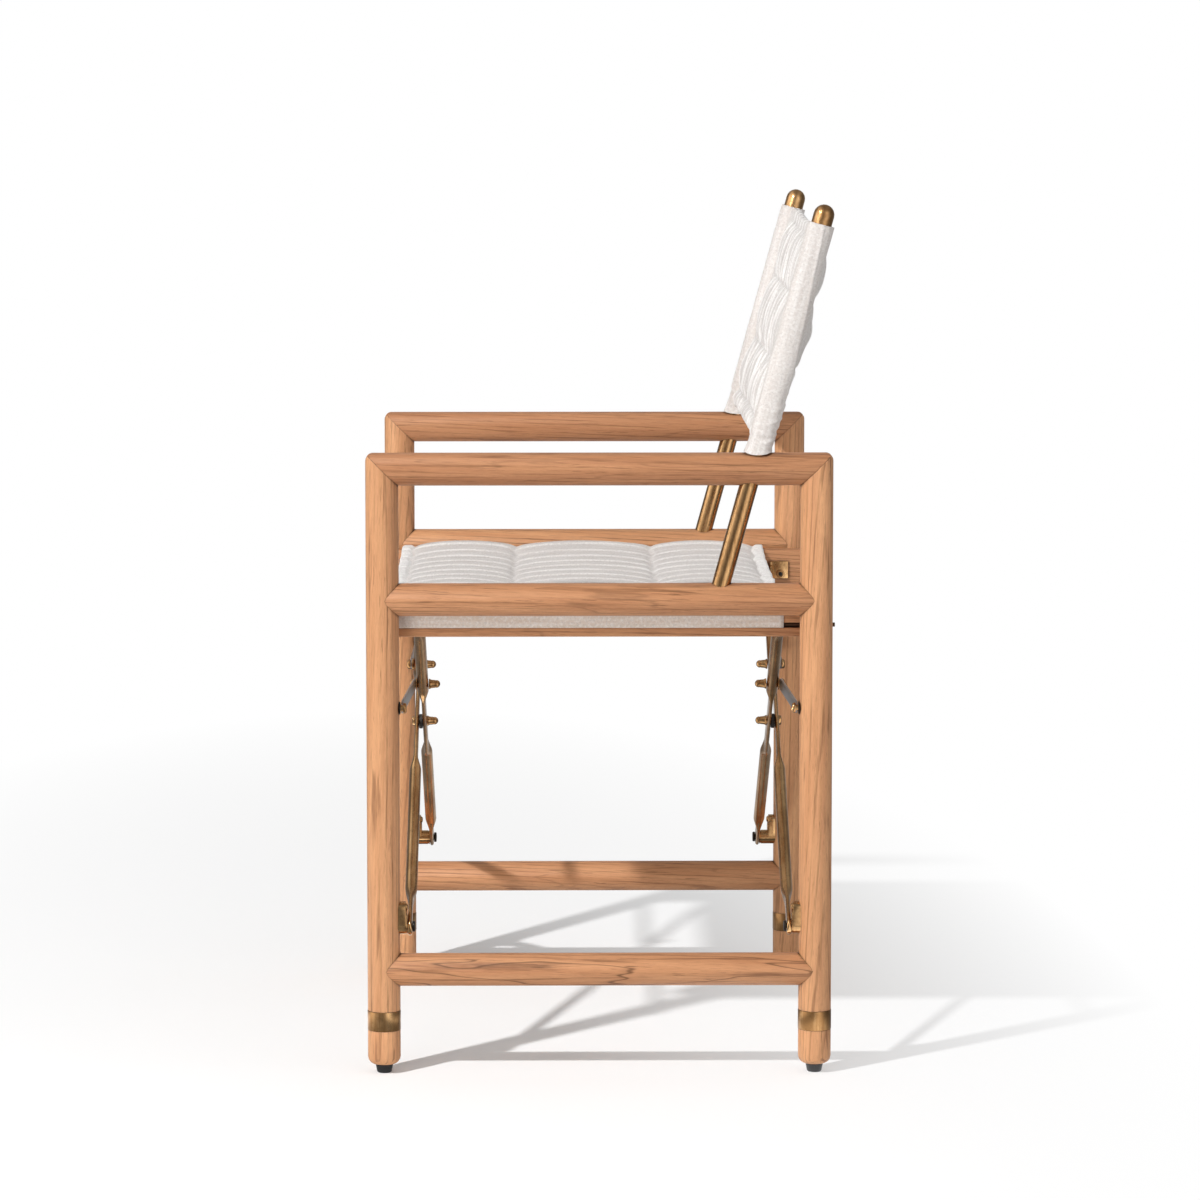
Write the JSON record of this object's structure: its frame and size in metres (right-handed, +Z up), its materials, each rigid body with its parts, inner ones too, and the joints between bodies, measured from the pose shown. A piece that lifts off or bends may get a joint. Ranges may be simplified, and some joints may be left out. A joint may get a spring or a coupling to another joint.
{
  "type": "directors chair",
  "caption": "Folding director's chair: round wooden side frames with arms, brass scissor legs and stay links, quilted fabric sling seat and sleeved back.",
  "frame": {"origin": "on the floor under the middle of the open chair's box", "axes": "+X to the sitter's left, +Y to the rear, +Z up"},
  "size_m": [0.5906, 0.486, 0.901],
  "materials": {
    "teak": "oiled, satin",
    "brass": "aged, satin",
    "steel": "brushed",
    "fabric": "woven, quilted",
    "rubber": "matte"
  },
  "bodies": {
    "left_frame": {"front_left_hinge": "brass", "front_left_link_screw": "brass", "left_arm_rail": "teak", "left_back_post": "teak", "left_front_ferrule": "brass", "left_front_glide": "rubber", "left_front_leg": "teak", "left_mid_rail": "teak", "left_post_cap": "brass", "left_rear_ferrule": "brass", "left_rear_glide": "rubber", "left_rear_leg": "teak", "left_stretcher": "teak", "rear_left_hinge": "brass", "rear_left_link_screw": "brass", "back_panel": "fabric"},
    "scissor_a": {"front_cross_bolt": "brass", "front_cross_spacer": "rubber", "front_leg_a": "brass", "front_right_link_nut": "brass", "rear_cross_bolt": "brass", "rear_cross_spacer": "rubber", "rear_leg_a": "brass", "rear_right_link_nut": "brass"},
    "scissor_b": {"front_left_link_nut": "brass", "front_leg_b": "brass", "rear_left_link_nut": "brass", "rear_leg_b": "brass"},
    "right_frame": {"front_right_hinge": "brass", "front_right_link_screw": "brass", "rear_right_hinge": "brass", "rear_right_link_screw": "brass", "right_arm_rail": "teak", "right_back_post": "teak", "right_front_ferrule": "brass", "right_front_glide": "rubber", "right_front_leg": "teak", "right_mid_rail": "teak", "right_post_cap": "brass", "right_rear_ferrule": "brass", "right_rear_glide": "rubber", "right_rear_leg": "teak", "right_stretcher": "teak"},
    "left_links": {"front_left_link": "steel", "rear_left_link": "steel"},
    "right_links": {"front_right_link": "steel", "rear_right_link": "steel"},
    "left_rail": {"front_left_rail_bracket": "brass", "left_seat_rail": "teak", "left_seat_rod": "steel", "rear_left_rail_bracket": "brass", "seat_cushion": "fabric"},
    "right_rail": {"front_right_rail_bracket": "brass", "rear_right_rail_bracket": "brass", "right_seat_rail": "teak", "right_seat_rod": "steel"}
  },
  "joints": [
    {"name": "fold", "type": "hinge", "parent": "left_frame", "child": "scissor_a", "pos_m": [0.278, -0.002, 0.1534], "axis": [0, 1, 0], "range_deg": [0, 42.06], "deforming": ["seat_cushion", "back_panel"]},
    {"name": "scissor_cross", "type": "hinge", "parent": "scissor_a", "child": "scissor_b", "pos_m": [0, -0.002, 0.329], "axis": [0, 1, 0], "range_deg": [-89.45, 0]},
    {"name": "right_frame_hinge", "type": "hinge", "parent": "scissor_b", "child": "right_frame", "pos_m": [-0.278, -0.002, 0.1534], "axis": [0, 1, 0], "range_deg": [0, 42.07]},
    {"name": "left_link_pivot", "type": "hinge", "parent": "left_frame", "child": "left_links", "pos_m": [0.278, -0.002, 0.3818], "axis": [0, 1, 0], "range_deg": [0, 69.07]},
    {"name": "right_link_pivot", "type": "hinge", "parent": "right_frame", "child": "right_links", "pos_m": [-0.278, -0.002, 0.3818], "axis": [0, 1, 0], "range_deg": [-69.07, 0]},
    {"name": "left_rail_pivot", "type": "hinge", "parent": "scissor_b", "child": "left_rail", "pos_m": [0.22, -0.002, 0.46796], "axis": [0, 1, 0], "range_deg": [0, 44.73]},
    {"name": "right_rail_pivot", "type": "hinge", "parent": "scissor_a", "child": "right_rail", "pos_m": [-0.22, -0.002, 0.46796], "axis": [0, 1, 0], "range_deg": [-44.73, 0]}
  ],
  "couplings": [
    {"joint": "scissor_cross", "follows": "fold", "ratio": -2.1267},
    {"joint": "right_frame_hinge", "follows": "fold", "ratio": 1},
    {"joint": "left_link_pivot", "follows": "fold", "ratio": 1.6419},
    {"joint": "right_link_pivot", "follows": "fold", "ratio": -1.6419},
    {"joint": "left_rail_pivot", "follows": "fold", "ratio": 1.0634},
    {"joint": "right_rail_pivot", "follows": "fold", "ratio": -1.0634}
  ]
}
